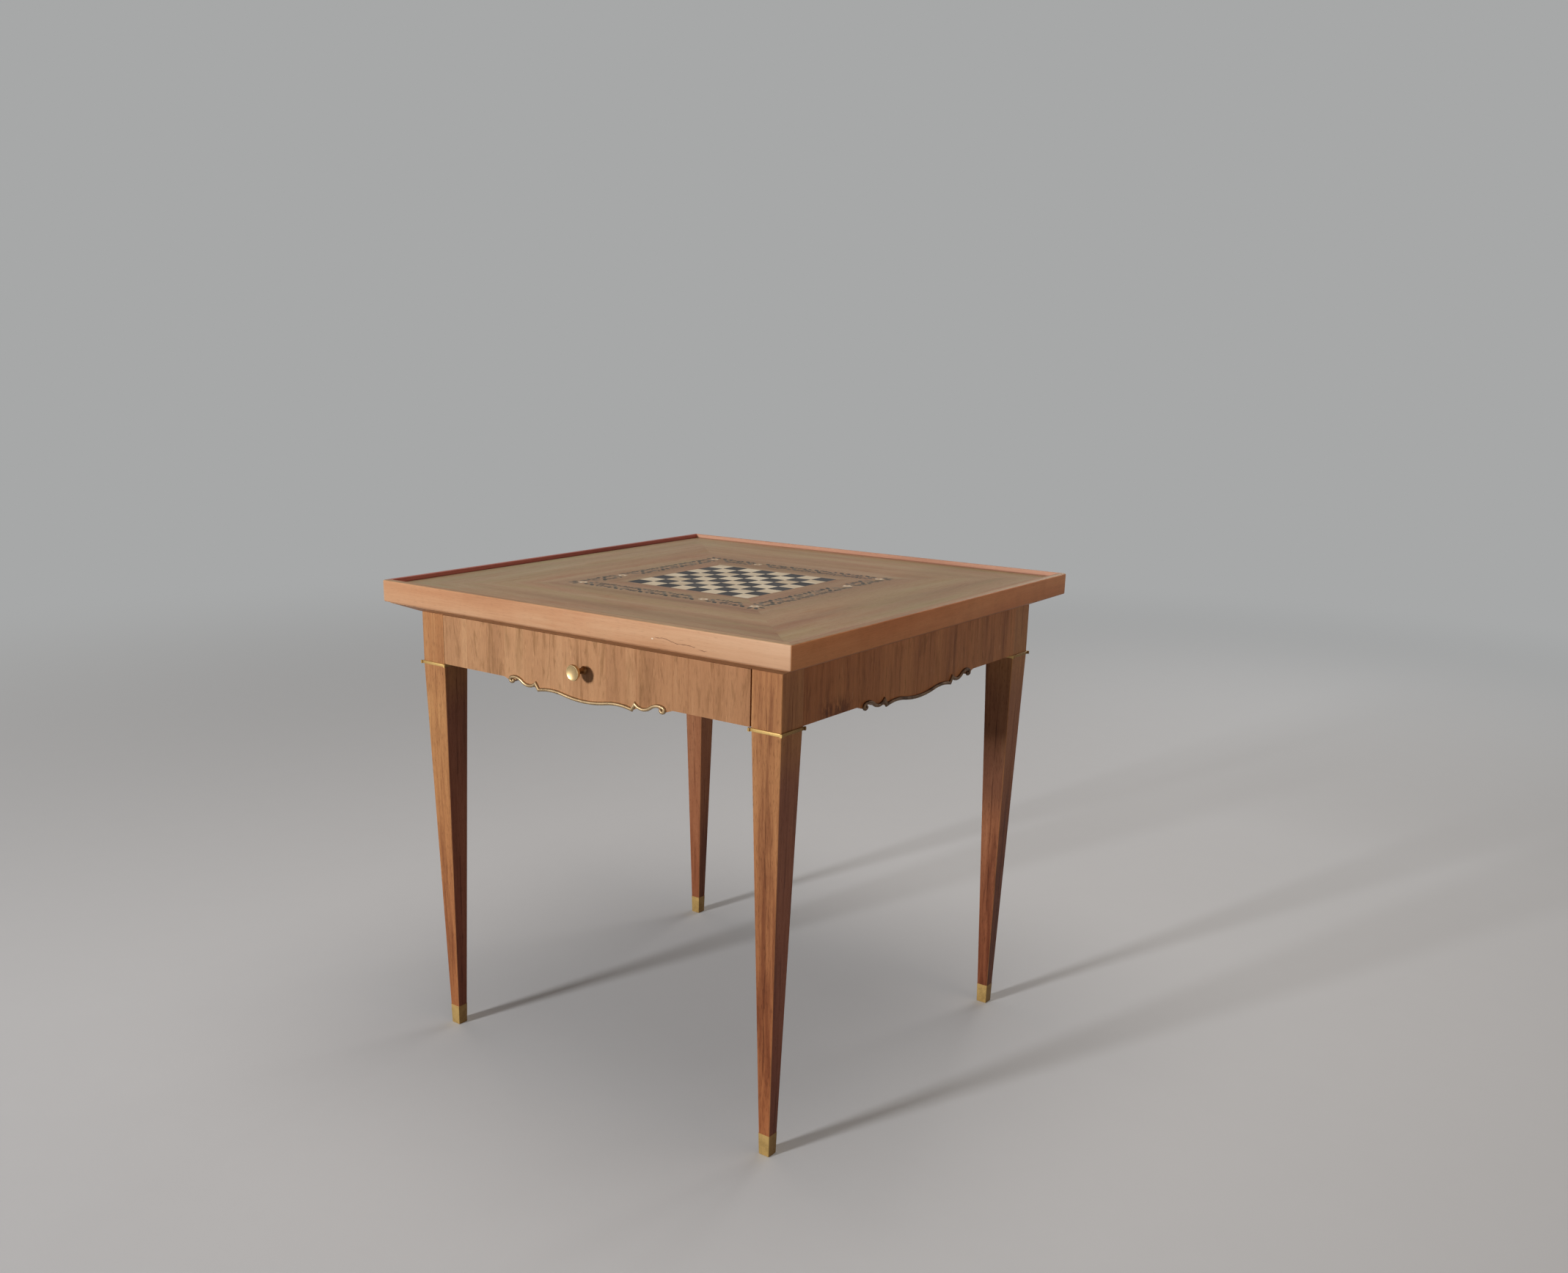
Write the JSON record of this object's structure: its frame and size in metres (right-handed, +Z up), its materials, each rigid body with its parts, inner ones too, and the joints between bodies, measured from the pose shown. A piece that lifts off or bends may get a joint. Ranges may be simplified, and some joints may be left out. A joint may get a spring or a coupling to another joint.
{
  "type": "chess table",
  "caption": "Square wooden game table on tapered legs, with an inlaid chessboard and garland in a sunk top, a drawer with a knob, and brass collars, foot caps and edge beads.",
  "frame": {"origin": "on the floor, under the middle of the top", "axes": "+Z up, -Y towards the side with the drawer, +X to the right as seen from that side"},
  "size_m": [0.75, 0.75, 0.73],
  "materials": {
    "leg_wood": "satin",
    "apron_wood": "satin",
    "rim_wood": "satin",
    "moulding_wood": "satin",
    "carcass_wood": "planed",
    "core_wood": "planed",
    "drawer_wood": "planed",
    "field_veneer": "satin",
    "light_squares": "satin",
    "dark_squares": "satin",
    "dark_leaves": "satin",
    "grey_leaves": "satin",
    "flowers": "satin",
    "flower_hearts": "satin",
    "brass": "worn polish"
  },
  "bodies": {
    "table": {"leg_front_left": "leg_wood", "collar_front_left": "brass", "sabot_front_left": "brass", "leg_front_right": "leg_wood", "collar_front_right": "brass", "sabot_front_right": "brass", "leg_back_right": "leg_wood", "collar_back_right": "brass", "sabot_back_right": "brass", "leg_back_left": "leg_wood", "collar_back_left": "brass", "sabot_back_left": "brass", "rim_front": "rim_wood", "bed_mould_front": "moulding_wood", "rim_right": "rim_wood", "bed_mould_right": "moulding_wood", "rim_back": "rim_wood", "bed_mould_back": "moulding_wood", "rim_left": "rim_wood", "bed_mould_left": "moulding_wood", "apron_right": "apron_wood", "bead_right": "brass", "apron_back": "apron_wood", "bead_back": "brass", "apron_left": "apron_wood", "bead_left": "brass", "runner_left": "carcass_wood", "guide_left": "carcass_wood", "kicker_left": "carcass_wood", "runner_right": "carcass_wood", "guide_right": "carcass_wood", "kicker_right": "carcass_wood", "front_top_rail": "carcass_wood", "front_bearer_rail": "carcass_wood", "top_core": "core_wood", "field_veneer": "field_veneer", "squares_light": "light_squares", "squares_dark": "dark_squares", "inlay_leaves_dark": "dark_leaves", "inlay_leaves_grey": "grey_leaves", "inlay_flowers": "flowers", "inlay_flower_hearts": "flower_hearts"},
    "drawer": {"drawer_front": "apron_wood", "drawer_side_left": "drawer_wood", "drawer_side_right": "drawer_wood", "drawer_back": "drawer_wood", "drawer_bottom": "drawer_wood", "bead_drawer": "brass", "knob": "brass"}
  },
  "joints": [
    {"name": "drawer_slide", "type": "slide", "parent": "table", "child": "drawer", "axis": [0, -1, 0], "range_m": [0, 0.35]}
  ]
}
